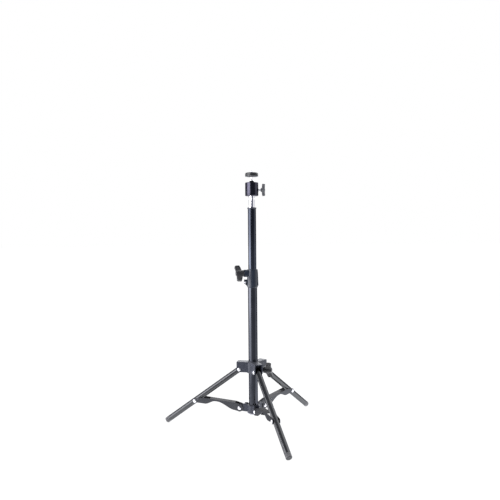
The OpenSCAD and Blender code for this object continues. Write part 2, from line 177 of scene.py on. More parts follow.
def joined(first, *others):
    pick(first)
    for other in others:
        other.select_set(True)
    bpy.ops.object.join()
    return first


def copied(part, name):
    pick(part)
    bpy.ops.object.duplicate()
    twin = bpy.context.object
    twin.name = name
    return twin


def upright_plane(number, x, z):
    """The frame at a point of the upright plane through one leg, X outward."""
    return Matrix.Rotation(leg_direction(number), 4, "Z") @ Matrix.Translation((x, 0, z))


print("one leg points to", [round(math.degrees(leg_direction(n))) for n in (1, 2, 3)])

# %% [markdown]
# ## Rounding and shading
# Real edges catch a thin line of light. A Bevel modifier rounds every edge sharper than a limit, and weighted
# normals keep the flat faces beside it flat. Both are applied, so the mesh itself has the form.


# %% Helpers for edges and shading
def apply_modifier(part, kind, **settings):
    pick(part)
    modifier = part.modifiers.new(kind.lower(), kind)
    for key, value in settings.items():
        setattr(modifier, key, value)
    bpy.ops.object.modifier_apply(modifier=modifier.name)


def round_edges(part, width, segments=2, limit=35):
    apply_modifier(
        part, "BEVEL", width=width, segments=segments, limit_method="ANGLE",
        angle_limit=math.radians(limit), use_clamp_overlap=False,
    )


def shade(part, limit=38):
    pick(part)
    bpy.ops.object.shade_smooth_by_angle(angle=math.radians(limit))
    apply_modifier(part, "WEIGHTED_NORMAL", keep_sharp=True, weight=60)


def turned(name, rings, sides=48):
    """A part turned on +Z: a disc extruded and resized ring by ring. rings is (radius, height) in mm."""
    radius, height = rings[0]
    bpy.ops.object.select_all(action="DESELECT")
    bpy.ops.mesh.primitive_circle_add(
        vertices=sides, radius=radius * MM, fill_type="NGON", location=(0, 0, height * MM)
    )
    part = bpy.context.object
    part.name = name
    put(part, part.matrix_world.copy())
    edit(part)
    for new_radius, new_height in rings[1:]:
        bpy.ops.mesh.extrude_region_move(
            TRANSFORM_OT_translate={"value": (0, 0, (new_height - height) * MM)}
        )
        if abs(new_radius - radius) > 1e-6:
            ratio = new_radius / radius
            bpy.ops.transform.resize(
                value=(ratio, ratio, 1), center_override=(0, 0, new_height * MM)
            )
        radius, height = new_radius, new_height
    return close_up(part)


def softened(node, name, width, limit=35):
    """A copy of a solid, its loose triangles merged into whole faces and its sharp edges rounded."""
    part = copied(nodes[node], name)
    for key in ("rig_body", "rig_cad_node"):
        del part[key]
    part.parent = None
    edit(part)
    bpy.ops.mesh.remove_doubles(threshold=0.002 * MM)
    bpy.ops.mesh.dissolve_limited(angle_limit=math.radians(0.6))
    close_up(part)
    round_edges(part, width, limit=limit)
    return part


print("helpers ready")

# %% [markdown]
# ## Shared surface effects
# Moulded grain, handling marks and dust come back on many finishes. Each is a node group with named sockets
# that gives out only a mask or a height, so a material decides itself what to do with it.


# %% Node group helpers
def new_group(name, inputs, outputs):
    tree = bpy.data.node_groups.new(name, "ShaderNodeTree")
    for label, kind, default in inputs:
        socket = tree.interface.new_socket(label, in_out="INPUT", socket_type=kind)
        if default is not None:
            socket.default_value = default
    for label in outputs:
        tree.interface.new_socket(label, in_out="OUTPUT", socket_type="NodeSocketFloat")
    return tree, tree.nodes.new("NodeGroupInput"), tree.nodes.new("NodeGroupOutput")


def add(tree, kind, values=None, **settings):
    node = tree.nodes.new(kind)
    for key, value in settings.items():
        setattr(node, key, value)
    for key, value in (values or {}).items():
        node.inputs[key].default_value = value
    return node


def math_node(tree, operation, first, second):
    node = tree.nodes.new("ShaderNodeMath")
    node.operation = operation
    for index, value in enumerate((first, second)):
        if isinstance(value, (int, float)):
            node.inputs[index].default_value = value
        else:
            tree.links.new(value, node.inputs[index])
    return node.outputs[0]


def remap(tree, value, low, high, new_low, new_high):
    node = add(tree, "ShaderNodeMapRange", {1: low, 2: high, 3: new_low, 4: new_high})
    tree.links.new(value, node.inputs[0])
    return node.outputs[0]


VECTOR, FLOAT = "NodeSocketVector", "NodeSocketFloat"

# %% Grain: fine bumps and slow cloudiness
grain, ends, out = new_group(
    "surface_grain", [("Vector", VECTOR, None), ("Scale", FLOAT, 900.0)], ["Height", "Cloud"]
)
fine = add(grain, "ShaderNodeTexNoise", {"Detail": 3.0, "Roughness": 0.55})
broad = add(grain, "ShaderNodeTexNoise", {"Scale": 38.0, "Detail": 4.0, "Roughness": 0.6})
grain.links.new(ends.outputs["Vector"], fine.inputs["Vector"])
grain.links.new(ends.outputs["Scale"], fine.inputs["Scale"])
grain.links.new(ends.outputs["Vector"], broad.inputs["Vector"])
grain.links.new(fine.outputs[0], out.inputs["Height"])
grain.links.new(remap(grain, broad.outputs[0], 0.3, 0.7, 0.0, 1.0), out.inputs["Cloud"])
print("group", grain.name)

# %% Handling marks: short fine lines where a part is gripped or slides
marks, ends, out = new_group(
    "handling_marks",
    [("Vector", VECTOR, None), ("Along", VECTOR, (900.0, 900.0, 25.0)), ("Amount", FLOAT, 0.5)],
    ["Marks"],
)
stretch = add(marks, "ShaderNodeVectorMath", operation="MULTIPLY")
lines = add(marks, "ShaderNodeTexNoise", {"Scale": 1.0, "Detail": 2.0, "Roughness": 0.5})
where = add(marks, "ShaderNodeTexNoise", {"Scale": 22.0, "Detail": 2.0})
marks.links.new(ends.outputs["Vector"], stretch.inputs[0])
marks.links.new(ends.outputs["Along"], stretch.inputs[1])
marks.links.new(stretch.outputs[0], lines.inputs["Vector"])
marks.links.new(ends.outputs["Vector"], where.inputs["Vector"])
thin = remap(marks, lines.outputs[0], 0.62, 0.72, 0.0, 1.0)
patch = remap(marks, where.outputs[0], 0.45, 0.65, 0.0, 1.0)
shown = math_node(marks, "MULTIPLY", math_node(marks, "MULTIPLY", thin, patch), ends.outputs["Amount"])
marks.links.new(shown, out.inputs["Marks"])
print("group", marks.name)

# %% Worn edges: the finish is thin where the surface turns sharply outward
worn, ends, out = new_group(
    "worn_edges", [("Vector", VECTOR, None), ("Amount", FLOAT, 0.6)], ["Wear"]
)
shape = add(worn, "ShaderNodeNewGeometry")
broken = add(worn, "ShaderNodeTexNoise", {"Scale": 260.0, "Detail": 3.0})
worn.links.new(ends.outputs["Vector"], broken.inputs["Vector"])
sharp = remap(worn, shape.outputs["Pointiness"], 0.57, 0.70, 0.0, 1.0)
uneven = remap(worn, broken.outputs[0], 0.42, 0.62, 0.0, 1.0)
both = math_node(worn, "MULTIPLY", math_node(worn, "MULTIPLY", sharp, uneven), ends.outputs["Amount"])
worn.links.new(both, out.inputs["Wear"])
print("group", worn.name)

# %% Dust: a thin film on whatever faces up
dust, ends, out = new_group(
    "settled_dust", [("Vector", VECTOR, None), ("Amount", FLOAT, 0.3)], ["Dust"]
)
facing = add(dust, "ShaderNodeNewGeometry")
split = add(dust, "ShaderNodeSeparateXYZ")
specks = add(dust, "ShaderNodeTexNoise", {"Scale": 120.0, "Detail": 5.0, "Roughness": 0.65})
dust.links.new(facing.outputs["Normal"], split.inputs[0])
dust.links.new(ends.outputs["Vector"], specks.inputs["Vector"])
upward = remap(dust, split.outputs["Z"], 0.45, 1.0, 0.0, 1.0)
patchy = remap(dust, specks.outputs[0], 0.35, 0.7, 0.25, 1.0)
film = math_node(dust, "MULTIPLY", math_node(dust, "MULTIPLY", upward, patchy), ends.outputs["Amount"])
dust.links.new(film, out.inputs["Dust"])
print("group", dust.name)

# %% [markdown]
# ## Finishes
# The stand has three kinds of surface: painted or moulded black, bare or plated metal, and rubber. A painted
# finish mixes two near shades by the cloudiness, lets marks and dust lighten it, and bumps it with the grain.
# Bare metal does the same with a metallic shader. Only the values differ, so one function makes them all.


# %% A function that builds one finish
def finish(name, dark, light, roughness, grain_size=900.0, bump=0.12, marks_amount=0.3,
           along=(900.0, 900.0, 25.0), dust_amount=0.2, wear=0.0, wear_colour=(0.45, 0.45, 0.47),
           metallic=0.0, coat=0.0, coat_roughness=0.12, specular=0.5, rim=1.0):
    material = bpy.data.materials.new(name)
    material.use_nodes = True
    tree = material.node_tree
    shader = tree.nodes["Principled BSDF"]
    place = add(tree, "ShaderNodeTexCoord").outputs["Object"]

    def effect(group, values):
        node = tree.nodes.new("ShaderNodeGroup")
        node.node_tree = group
        tree.links.new(place, node.inputs["Vector"])
        for key, value in values.items():
            node.inputs[key].default_value = value
        return node

    def mixed(factor, under, over):
        node = add(tree, "ShaderNodeMix", data_type="RGBA")
        for socket, value in ((node.inputs[0], factor), (node.inputs[6], under), (node.inputs[7], over)):
            if isinstance(value, tuple):
                socket.default_value = (*value, 1.0)
            else:
                tree.links.new(value, socket)
        return node.outputs[2]

    surface = effect(grain, {"Scale": grain_size})
    handled = effect(marks, {"Along": along, "Amount": marks_amount})
    dusty = effect(dust, {"Amount": dust_amount})
    pale = tuple(min(1.0, 0.12 + 1.6 * channel) for channel in light)
    colour = mixed(surface.outputs["Cloud"], dark, light)
    colour = mixed(handled.outputs["Marks"], colour, pale)
    if wear:
        edges = effect(worn, {"Amount": wear})
        colour = mixed(edges.outputs["Wear"], colour, wear_colour)
        if not metallic:
            tree.links.new(edges.outputs["Wear"], shader.inputs["Metallic"])
    colour = mixed(dusty.outputs["Dust"], colour, (0.42, 0.41, 0.39))
    tree.links.new(colour, shader.inputs["Base Color"])
    rough = remap(tree, surface.outputs["Cloud"], 0.0, 1.0, roughness * 0.85, roughness * 1.2)
    rough = math_node(tree, "ADD", rough, math_node(tree, "MULTIPLY", dusty.outputs["Dust"], 0.5))
    tree.links.new(rough, shader.inputs["Roughness"])
    raised = add(tree, "ShaderNodeBump", {"Strength": bump, "Distance": 0.0003})
    tree.links.new(surface.outputs["Height"], raised.inputs["Height"])
    tree.links.new(raised.outputs[0], shader.inputs["Normal"])
    if metallic:
        shader.inputs["Metallic"].default_value = metallic
    shader.inputs["Coat Weight"].default_value = coat
    shader.inputs["Coat Roughness"].default_value = coat_roughness
    shader.inputs["Specular IOR Level"].default_value = specular
    shader.inputs["Specular Tint"].default_value = (rim, rim, rim, 1.0)
    return material


# %% The finishes of this stand
finishes = {
    "tube_black": finish("tube_black_plate", (0.034, 0.036, 0.042), (0.042, 0.044, 0.051), 0.17,
                         bump=0.010, dust_amount=0.03, marks_amount=0.05, metallic=1.0, rim=0.35),
    "upper_black": finish("upper_tube_anodised", (0.034, 0.038, 0.048), (0.041, 0.046, 0.058), 0.14,
                          bump=0.006, marks_amount=0.05, dust_amount=0.03, metallic=1.0, rim=0.35),
    "hub_cast": finish("cast_hub_paint", (0.014, 0.016, 0.024), (0.021, 0.024, 0.034), 0.45,
                       grain_size=700.0, bump=0.10, wear=0.2, dust_amount=0.10, specular=0.3),
    "brace_steel": finish("pressed_steel_black", (0.042, 0.043, 0.046), (0.051, 0.052, 0.056), 0.34,
                          bump=0.03, wear=0.3, marks_amount=0.15, dust_amount=0.15, metallic=1.0, rim=0.4),
    "collar_plastic": finish("collar_nylon", (0.003, 0.007, 0.014), (0.005, 0.010, 0.020), 0.36,
                             grain_size=1300.0, bump=0.06, dust_amount=0.06, specular=0.38),
    "knob_plastic": finish("knob_nylon", (0.009, 0.009, 0.010), (0.014, 0.014, 0.015), 0.44,
                           grain_size=1500.0, bump=0.12, marks_amount=0.3, dust_amount=0.10, specular=0.4),
    "cap_plastic": finish("cap_nylon", (0.014, 0.015, 0.024), (0.020, 0.021, 0.032), 0.32,
                          grain_size=1300.0, bump=0.08, dust_amount=0.1),
    "plug_plastic": finish("plug_nylon", (0.24, 0.24, 0.25), (0.32, 0.32, 0.33), 0.42,
                           grain_size=1100.0, bump=0.12, dust_amount=0.1),
    "foot_rubber": finish("foot_rubber", (0.040, 0.040, 0.042), (0.060, 0.060, 0.062), 0.60,
                          grain_size=1800.0, bump=0.3, marks_amount=0.6, dust_amount=0.25),
    "pad_rubber": finish("pad_rubber", (0.010, 0.010, 0.010), (0.018, 0.018, 0.018), 0.78,
                         grain_size=2200.0, bump=0.4, marks_amount=0.1, dust_amount=0.2),
    "chrome": finish("chrome_plate", (0.84, 0.82, 0.81), (0.93, 0.91, 0.90), 0.08,
                     bump=0.005, metallic=1.0, marks_amount=0.15, dust_amount=0.03,
                     along=(60.0, 60.0, 1500.0)),
    "head_black": finish("head_anodised", (0.037, 0.036, 0.048), (0.045, 0.044, 0.057), 0.17,
                         bump=0.008, marks_amount=0.05, dust_amount=0.04, metallic=1.0, rim=0.5,
                         along=(30.0, 30.0, 1800.0)),
    "plate_grey": finish("plate_anodised", (0.040, 0.041, 0.041), (0.054, 0.056, 0.055), 0.36,
                         bump=0.03, metallic=0.7, marks_amount=0.10, dust_amount=0.06),
    "screw_steel": finish("screw_zinc", (0.50, 0.50, 0.52), (0.62, 0.62, 0.63), 0.22,
                          bump=0.03, metallic=1.0, marks_amount=0.3, dust_amount=0.05),
}
leg_finish = finish("leg_black_plate", (0.045, 0.046, 0.047), (0.055, 0.056, 0.057), 0.18,
                    bump=0.010, dust_amount=0.03, marks_amount=0.08, metallic=1.0, rim=0.5)
rivet_finish = finish("rivet_zinc", (0.46, 0.46, 0.48), (0.58, 0.58, 0.59), 0.22,
                      bump=0.03, metallic=1.0, marks_amount=0.3, dust_amount=0.05)
head_knob_finish = finish("head_knob_grey", (0.065, 0.067, 0.070), (0.090, 0.092, 0.095), 0.42,
                          grain_size=1400.0, bump=0.12, marks_amount=0.3, dust_amount=0.15)
ball_finish = finish("ball_steel", (0.010, 0.010, 0.014), (0.018, 0.018, 0.022), 0.16,
                     bump=0.01, metallic=0.3, marks_amount=0.3, dust_amount=0.04)
print("finishes:", len(bpy.data.materials))

# %% Give every solid its finish
node_slots = {
    "tube_black": ["lower_tube", "leg_1", "leg_2", "leg_3"],
    "upper_black": ["upper_tube"],
    "hub_cast": ["leg_hub", "base_hub"],
    "brace_steel": ["brace_1", "brace_2", "brace_3"],
    "collar_plastic": ["column_collar"],
    "knob_plastic": ["hub_knob", "collar_knob"],
    "cap_plastic": ["tube_cap"],
    "plug_plastic": ["base_plug"],
    "foot_rubber": ["foot_1", "foot_2", "foot_3"],
    "pad_rubber": ["plate_pad"],
    "chrome": ["spigot", "ball_stem"],
    "head_black": ["ball_housing"],
    "plate_grey": ["plate"],
    "screw_steel": ["hub_screw", "collar_screw", "head_screw", "camera_screw", "collar_pin"],
}
node_finish = {node: finishes[slot] for slot, members in node_slots.items() for node in members}
slot_of = {node: slot for slot, members in node_slots.items() for node in members}
node_finish["head_knob"], slot_of["head_knob"] = head_knob_finish, "knob_plastic"
node_finish["ball"], slot_of["ball"] = ball_finish, "chrome"
for number in (1, 2, 3):
    node_finish[f"leg_{number}"] = leg_finish
    for kind in ("base_rivet", "leg_rivet", "brace_rivets"):
        node_finish[f"{kind}_{number}"], slot_of[f"{kind}_{number}"] = rivet_finish, "chrome"
for node, material in node_finish.items():
    nodes[node].data.materials.clear()
    nodes[node].data.materials.append(material)
print("solids without a finish:", sorted(set(nodes) - set(node_finish)))


def stands_for(part, *replaced, material=None, shade_limit=38):
    """Finishes a modelled piece: its material, its body, and the solids that it replaces."""
    shade(part, shade_limit)
    part.data.materials.clear()
    part.data.materials.append(material or node_finish[replaced[0]])
    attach(part, nodes[replaced[0]]["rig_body"])
    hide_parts(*replaced)
    print(part.name, "faces:", len(part.data.polygons))
    return part


# %% [markdown]
# ## Rivets
# Each hinge is a steel rivet with two low domed heads and a small dimple where the tool pressed it. Each one
# is turned as a disc that grows ring by ring and set in its place, nine places in all; at a brace end one
# head is turned and copied to the other side.


# %% Turn one rivet head and place the rivets
HEAD = [(4.8, 0.0), (4.8, 0.5), (4.55, 1.0), (4.0, 1.5), (3.2, 1.95), (2.3, 2.25), (1.7, 2.38),
        (1.45, 2.4), (1.15, 2.15), (0.5, 2.0)]
SHANK = 3.0


def rivet(name, half):
    """A rivet along +Z, the undersides of its heads half a length from the middle, in mm."""
    far = [(radius, half + height) for radius, height in HEAD]
    near = [(radius, -height) for radius, height in reversed(far)]
    return turned(name, near + [(SHANK, -half), (SHANK, half)] + far, sides=32)


SIDEWAYS = Matrix.Rotation(math.radians(-90), 4, "X")
leg_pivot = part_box("leg_rivet_1")
base_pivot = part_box("base_rivet_1")
hinge_height = (leg_pivot[0].z + leg_pivot[1].z) / 2
base_height = (base_pivot[0].z + base_pivot[1].z) / 2
HINGE_R = 0.037
for number in (1, 2, 3):
    for kind, half, height in (("leg_rivet", 11.5, hinge_height), ("base_rivet", 10.3, base_height)):
        part = rivet(f"{kind}_{number}_domed", half)
        put(part, upright_plane(number, HINGE_R, height) @ SIDEWAYS)
        stands_for(part, f"{kind}_{number}", shade_limit=50)

# %% Rivet heads at the brace ends, one at each side of the leg
BRACE_TIP = (0.16321, 0.06640)
for number in (1, 2, 3):
    head = turned(f"brace_rivets_{number}_domed", [(SHANK, 8.5), (SHANK, 10.0)] + [
        (radius, 10.0 + height) for radius, height in HEAD], sides=32)
    other = copied(head, "other_head")
    put(other, Matrix.Rotation(math.pi, 4, "X"))
    part = joined(head, other)
    put(part, upright_plane(number, *BRACE_TIP) @ SIDEWAYS)
    stands_for(part, f"brace_rivets_{number}", shade_limit=50)

# %% [markdown]
# ## Cast, moulded and pressed parts
# The two hubs, the collar and the braces are right in outline, and what they lack is the small radius that
# a mould or a press leaves. A copy of each is merged into whole faces and its edges are rounded.

# %% Round the edges of the hubs, the collar and the braces
for node, width in (("leg_hub", 0.7), ("base_hub", 0.5), ("column_collar", 0.6)):
    stands_for(softened(node, node + "_rounded", width * MM), node)
for number in (1, 2, 3):
    stands_for(softened(f"brace_{number}", f"brace_{number}_pressed", 0.35 * MM), f"brace_{number}")

# %% [markdown]
# ## Wing knobs
# A wing knob is a round boss with two wings that widen to their tips, and a shallow pocket in each side so
# that the moulding has even walls. A block is extruded outward section by section to make the wings, the
# pockets are inset and pushed in, and the boss is turned and gets flutes.


# %% Model a wing knob
def wing_knob(name, length, depth, boss_d, boss_h, waist, tip, web):
    """A wing knob on +Z with its boss from z = 0 and a web under the roots of its wings, in mm."""
    reach, half = length / 2, boss_d / 2
    sections = [
        (half, waist / 2, boss_h - web, boss_h + 0.9 * depth),
        (0.72 * reach, 0.46 * tip, boss_h + 0.05 * depth - 0.68 * web, boss_h + 0.95 * depth),
        (reach - 0.19 * depth, tip / 2, boss_h + 0.11 * depth - 0.46 * web, boss_h + depth),
        (reach - 0.07 * depth, 0.46 * tip, boss_h + 0.12 * depth - 0.36 * web, boss_h + 0.80 * depth),
        (reach, 0.40 * tip, boss_h + 0.14 * depth - 0.21 * web, boss_h + 0.26 * depth),
    ]
    x, wide, low, high = sections[0]
    bpy.ops.object.select_all(action="DESELECT")
    bpy.ops.mesh.primitive_cube_add(size=1)
    wings = bpy.context.object
    put(wings, Matrix.Translation((0, 0, (low + high) / 2 * MM))
        @ Matrix.Diagonal((2 * x * MM, 2 * wide * MM, (high - low) * MM, 1)))
    for side in (-1, 1):
        x, wide, low, high = sections[0]
        edit(wings)
        choose_faces(wings, lambda centre, normal: normal.x * side > 0.9)
        for new_x, new_wide, new_low, new_high in sections[1:]:
            middle, new_middle = (low + high) / 2, (new_low + new_high) / 2
            bpy.ops.mesh.extrude_region_move(TRANSFORM_OT_translate={
                "value": (side * (new_x - x) * MM, 0, (new_middle - middle) * MM)})
            bpy.ops.transform.resize(
                value=(1, new_wide / wide, (new_high - new_low) / (high - low)),
                center_override=(side * new_x * MM, 0, new_middle * MM))
            x, wide, low, high = new_x, new_wide, new_low, new_high
        for face in (-1, 1):
            choose_faces(wings, lambda centre, normal: normal.y * face > 0.8
                         and half * MM < centre.x * side < (reach - 0.14 * depth) * MM)
            bpy.ops.mesh.inset(thickness=0.12 * depth * MM, depth=-0.10 * tip * MM)
        close_up(wings)
    round_edges(wings, 0.085 * depth * MM, segments=3, limit=25)
    cap_top = boss_h + 0.96 * depth
    boss = turned(name, [(half - 0.5, 0), (half, 0.5), (half, boss_h), (0.92 * half, boss_h + 0.55 * depth),
                         (0.80 * half, boss_h + 0.9 * depth), (0.72 * half, cap_top),
                         (0.55 * half, cap_top), (0.50 * half, cap_top - 0.5)], sides=48)
    edit(boss)
    choose_faces(boss, lambda centre, normal: abs(normal.z) < 0.2
                 and 0.6 * MM < centre.z < boss_h * MM
                 and int(math.degrees(math.atan2(centre.y, centre.x)) / 7.5 + 48) % 2 == 0)
    bpy.ops.mesh.inset(thickness=0.15 * MM, depth=-0.35 * MM, use_individual=True)
    close_up(boss)
    round_edges(boss, 0.15 * MM, limit=30)
    return joined(boss, wings)


def screw_height(knob_node):
    """How high the screw of a knob sits, taken from the screw's own box."""
    low, high, _ = size_of(knob_node.replace("knob", "screw"))
    return (low.z + high.z) / 2


# %% Place the three knobs
KNOBS = {
    "hub_knob": dict(turn=-15, spin=35, base=30.3, size=(50, 13.5, 17, 8.5, 7.5, 10, 3.8)),
    "collar_knob": dict(turn=195, spin=42, base=24.3, size=(50, 13.5, 17, 8.5, 7.5, 10, 3.8)),
    "head_knob": dict(turn=0, spin=0, base=24.25, size=(33, 9, 11, 3, 5, 6.5, 0)),
}
for node, knob in KNOBS.items():
    height = screw_height(node)
    part = wing_knob(node + "_moulded", *knob["size"])
    put(part, Matrix.Translation((0, 0, height)) @ Matrix.Rotation(math.radians(knob["turn"]), 4, "Z")
        @ Matrix.Rotation(math.radians(90), 4, "Y") @ Matrix.Rotation(math.radians(knob["spin"]), 4, "Z")
        @ Matrix.Translation((0, 0, knob["base"] * MM)))
    stands_for(part, node)

# %% [markdown]
# ## Threads
# Where a screw shows, its thread shows too. A small triangle is swept round the core by the Screw modifier,
# which lifts it by one pitch each turn, and its two open ends are filled.


# %% Model a threaded rod
def threaded(name, radius, length, pitch, plain=0.0):
    """A rod on +Z from z = 0 with a thread along it above a plain length, in mm."""
    depth = 0.55 * pitch
    root = radius - depth
    core = turned(name, [(root - 0.4, 0), (root, 0.4), (root, length - 0.5), (root - 0.5, length)], sides=24)
    bpy.ops.object.select_all(action="DESELECT")
    bpy.ops.mesh.primitive_circle_add(vertices=3, radius=depth * 2 / 3 * MM)
    ridge = bpy.context.object
    put(ridge, Matrix.Translation(((root + depth / 3) * MM, 0, (plain + 0.6 * pitch) * MM))
        @ Matrix.Rotation(math.pi / 2, 4, "X") @ Matrix.Rotation(-math.pi / 2, 4, "Z"))
    apply_modifier(ridge, "SCREW", axis="Z", screw_offset=pitch * MM, steps=24, render_steps=24,
                   iterations=int((length - plain - 1.4 * pitch) / pitch), use_normal_calculate=True)
    edit(ridge)
    bpy.ops.mesh.fill_holes(sides=3)
    close_up(ridge)
    return joined(core, ridge)


# %% Thread the mounting screw and the ball head's lock screw
low, high, size = size_of("camera_screw")
pad_thickness = size_of("plate_pad")[2].z / MM
part = threaded("camera_screw_threaded", size.x / 2 / MM, size.z / MM, 1.27, plain=pad_thickness)
put(part, Matrix.Translation((0, 0, low.z)))
stands_for(part, "camera_screw")
low, high, size = size_of("head_screw")
part = threaded("head_screw_threaded", size.z / 2 / MM, size.x / MM, 1.0)
put(part, Matrix.Translation((low.x, 0, (low.z + high.z) / 2)) @ Matrix.Rotation(math.pi / 2, 4, "Y"))
stands_for(part, "head_screw")

# %% [markdown]
# ## The ball head
# The plate is a turned disc whose rim is cut with straight flutes for the fingers. The pad on it is ribbed
# rubber. The stem flares where it meets the ball, and the housing has a small lip round its socket.

# %% Plate with a fluted rim
radius, thick = plate_size.x / 2 / MM, plate_size.z / MM
part = turned("plate_fluted", [
    (radius - 5.0, 0.5), (radius - 4.4, 0), (radius - 0.8, 0), (radius, 0.8), (radius, 3.9), (radius - 0.35, 4.2),
    (radius - 0.35, 4.8), (radius, 5.1), (radius, thick - 0.8), (radius - 0.8, thick)], sides=120)
edit(part)
count = choose_faces(part, lambda centre, normal: abs(normal.z) < 0.1
                     and centre.xy.length > (radius - 0.1) * MM
                     and int(math.degrees(math.atan2(centre.y, centre.x)) / 3 + 120) % 2 == 0)
bpy.ops.mesh.inset(thickness=0.12 * MM, depth=-0.4 * MM, use_individual=True)
close_up(part)
put(part, Matrix.Translation((0, 0, plate_low.z)))
stands_for(part, "plate", shade_limit=30)
print("flutes:", count)

# %% Ribbed pad
low, high, size = size_of("plate_pad")
radius, thick = size.x / 2 / MM, size.z / MM
rings = [(radius - 0.2, 0), (radius, 0.2), (radius, thick - 0.25), (radius - 0.25, thick)]
for edge in range(int(radius) - 2, 4, -2):
    rings += [(edge + 0.6, thick), (edge + 0.4, thick - 0.45), (edge - 0.2, thick - 0.45), (edge - 0.4, thick)]
part = turned("plate_pad_ribbed", rings, sides=72)
put(part, Matrix.Translation((0, 0, low.z)))
stands_for(part, "plate_pad", shade_limit=30)

# %% Stem with its flare
low, high, size = size_of("ball_stem")
top = (high.z - ball_middle.z) / MM
part = turned("ball_stem_turned", [
    (0.6, 10.07), (2.2, 9.84), (3.4, 9.49), (4.4, 9.07), (4.5, 9.3), (4.45, 10.0), (4.1, 11.0), (3.6, 12.0),
    (3.32, 13.0), (3.25, 14.5), (3.25, top - 2.0), (3.9, top - 1.2), (3.9, top)], sides=48)
put(part, Matrix.Translation((0, 0, ball_middle.z)))
stands_for(part, "ball_stem")

# %% Housing with a lip round the socket and a bushing for the lock screw
radius, tall = housing_size.y / 2 / MM, housing_size.z / MM
part = turned("ball_housing_turned", [
    (radius - 4.0, 0.6), (radius - 3.4, 0), (radius - 1.2, 0), (radius, 1.2), (radius, 4.0), (radius - 0.25, 4.2),
    (radius - 0.25, 4.6), (radius, 4.8), (radius, tall - 1.3), (radius - 0.5, tall - 0.5),
    (radius - 1.3, tall - 0.05), (11.4, tall - 0.05), (11.0, tall), (9.75, tall), (9.45, tall - 0.4),
    (9.75, tall - 2.0), (9.9, tall - 3.6)], sides=96)
put(part, Matrix.Translation((0, 0, housing_low.z)))
bushing = turned("bushing", [(5.2, 0), (5.2, 17.6), (4.9, 18.1), (3.5, 18.1), (3.2, 17.2)], sides=40)
put(bushing, Matrix.Translation((0, 0, screw_height("head_knob"))) @ Matrix.Rotation(math.pi / 2, 4, "Y"))
part = joined(part, bushing)
stands_for(part, "ball_housing")

# %% [markdown]
# ## Spigot, cap, plug and feet
# All of these are turned. The spigot is chromed and has a groove for a set screw, the cap closes the upper
# tube, the plug closes the lower one with a low dome, and each foot is a ribbed sleeve cut flat at the floor.

# %% Spigot and cap
radius, tall = spigot_size.x / 2 / MM, spigot_size.z / MM
groove = tall - 9.0
part = turned("spigot_turned", [
    (radius - 0.8, 0), (radius, 0.8), (radius, groove), (6.9, groove + 0.4), (6.5, groove + 0.8),
    (6.5, groove + 2.2), (6.9, groove + 2.6), (radius, groove + 3.0), (radius, tall - 0.5),
    (radius - 0.5, tall)], sides=64)
put(part, Matrix.Translation((0, 0, spigot_low.z)))
stands_for(part, "spigot")
radius, tall = cap_size.x / 2 / MM, cap_size.z / MM
rim = tall - 4.0
part = turned("tube_cap_moulded", [
    (9.2, 0), (9.6, 0.5), (9.6, rim), (radius - 0.4, rim), (radius, rim + 0.4), (radius, tall - 0.9),
    (radius - 0.3, tall - 0.3), (radius - 0.9, tall), (8.5, tall), (8.1, tall - 0.4)], sides=64)
put(part, Matrix.Translation((0, 0, cap_low.z)))
stands_for(part, "tube_cap")

# %% Plug under the column
low, high, size = size_of("base_plug")
radius, deep = size.x / 2 / MM, (tube_low.z - low.z) / MM
dome = [(radius * math.sin(math.radians(a)), -deep * math.cos(math.radians(a))) for a in range(6, 91, 7)]
part = turned("base_plug_domed", [(radius * 0.05, -deep)] + dome[:-1] + [
    (radius - 0.1, -0.5), (radius - 0.5, 0), (11.0, 0), (11.0, size.z / MM - deep - 0.4), (10.6, size.z / MM - deep)],
    sides=64)
put(part, Matrix.Translation((0, 0, tube_low.z)))
stands_for(part, "base_plug")

# %% Feet, cut flat where they stand
FOOT = [(6.6, -14), (6.9, -13.6), (6.9, 0), (7.7, 0), (8.0, 0.3), (8.0, 2.2), (7.65, 2.5), (7.65, 3.1), (8.0, 3.4),
        (8.0, 5.2), (7.65, 5.5), (7.65, 6.1), (8.0, 6.4), (8.0, 9.6), (7.7, 10.7), (7.1, 11.5), (6.2, 12.0)]
LEG_LENGTH, FOOT_LENGTH = 0.260, 0.012
for number in (1, 2, 3):
    part = turned(f"foot_{number}_ribbed", FOOT, sides=64)
    put(part, upright_plane(number, HINGE_R, hinge_height) @ Matrix.Rotation(LEG_SLOPE, 4, "Y")
        @ Matrix.Translation((LEG_LENGTH - FOOT_LENGTH, 0, 0)) @ Matrix.Rotation(math.pi / 2, 4, "Y"))
    edit(part)
    bpy.ops.mesh.bisect(plane_co=(0, 0, 0), plane_no=(0, 0, 1), use_fill=True, clear_inner=True,
                        threshold=0.001 * MM)
    close_up(part)
    stands_for(part, f"foot_{number}", shade_limit=40)

# %% [markdown]
# ## The studio
# Glossy black shows nothing but what stands around it, so the room is what makes this picture. It is dark in
# front, with a tall soft light at the left that draws the pale streak down every tube, a dimmer glow at the
# right for the far edges, and a bright sheet behind for the top faces. The floor glows with painted light that
# only rays bouncing off the stand see: the same bands carried on outward, a painted streak of the left light,
# and a painted pool of light round the stand, dim in front and bright behind. The picture itself shows floor
# and room as plain white.


# %% Bands of light round the stand
def band_levels(tree, x, y):
    """How bright the surroundings are in a level direction (x, y) of length one, seen by the stand."""
    in_front = remap(tree, y, -0.55, -0.38, 0.0, 1.0)
    behind = remap(tree, y, 0.10, 0.80, 1.0, 0.12)
    at_right = remap(tree, x, -0.1, 0.1, 0.07, 1.0)
    side = math_node(tree, "MULTIPLY", math_node(tree, "MULTIPLY", in_front, behind), at_right)
    return math_node(tree, "ADD", math_node(tree, "MULTIPLY", side, RIGHT_GLOW), FRONT_GLOW)


def tint(tree, level):
    """The dim parts of the room are bluish, and the bright ones are almost neutral."""
    mix = add(tree, "ShaderNodeMix", {6: (0.72, 0.78, 1.0, 1), 7: (0.95, 0.96, 1.0, 1)}, data_type="RGBA")
    tree.links.new(remap(tree, level, FRONT_GLOW, 1.0, 0.0, 1.0), mix.inputs[0])
    return mix.outputs[2]


